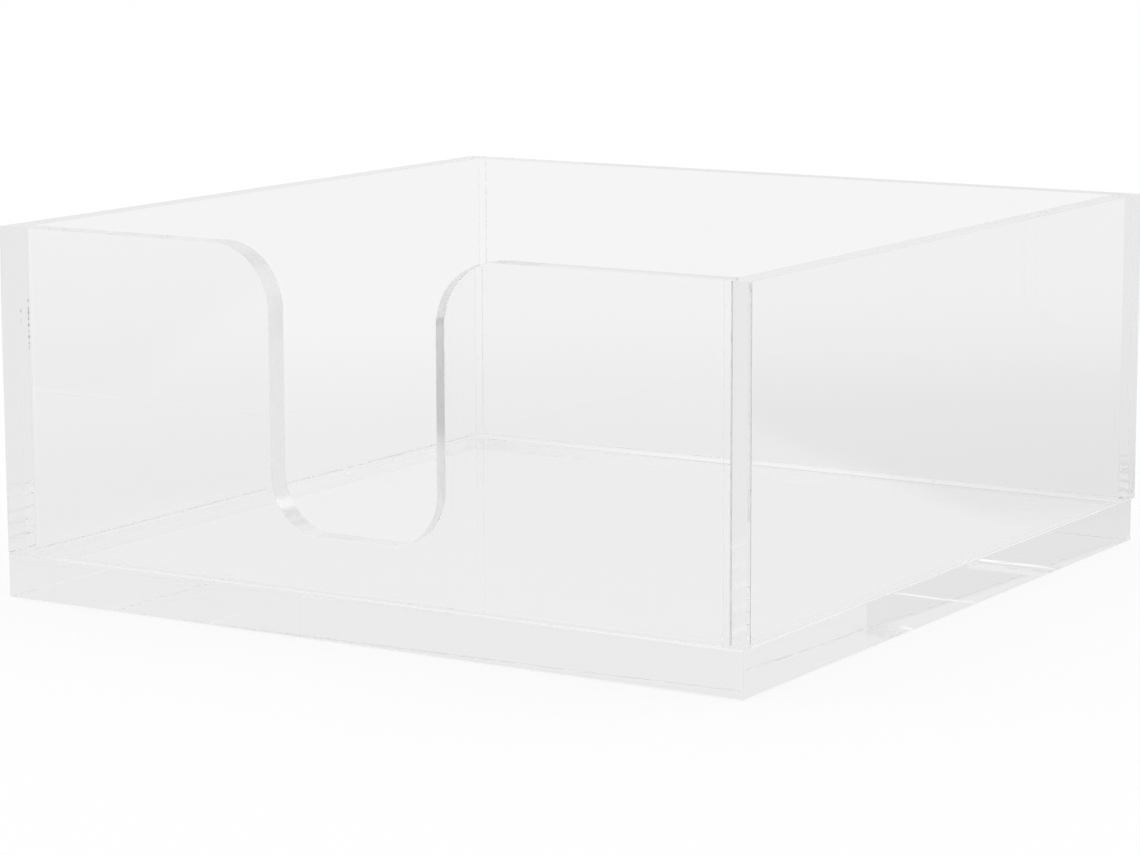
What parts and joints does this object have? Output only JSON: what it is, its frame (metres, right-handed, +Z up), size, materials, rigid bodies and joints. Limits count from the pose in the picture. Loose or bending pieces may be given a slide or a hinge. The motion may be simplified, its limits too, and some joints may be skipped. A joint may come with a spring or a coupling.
{
  "type": "napkin holder",
  "caption": "Open clear acrylic tray for a stack of folded napkins, with a thick base slab, upright cemented walls and a rounded finger opening in the front wall.",
  "frame": {"origin": "centre of the footprint, on the surface that the tray stands on", "axes": "+Z up, -Y towards the front wall with the finger opening, +X to the right seen from the front"},
  "size_m": [0.178, 0.178, 0.0785],
  "materials": {
    "slab_sheet": "clear cast acrylic, polished",
    "wall_sheet": "clear cast acrylic, polished",
    "cement": "clear solvent cement with small bubbles"
  },
  "bodies": {
    "root": {"base_slab": "slab_sheet", "front_wall": "wall_sheet", "back_wall": "wall_sheet", "left_wall": "wall_sheet", "right_wall": "wall_sheet", "front_left_film": "cement", "front_right_film": "cement", "back_left_film": "cement", "back_right_film": "cement", "front_foot_film": "cement", "back_foot_film": "cement", "left_foot_film": "cement", "right_foot_film": "cement"}
  },
  "joints": []
}
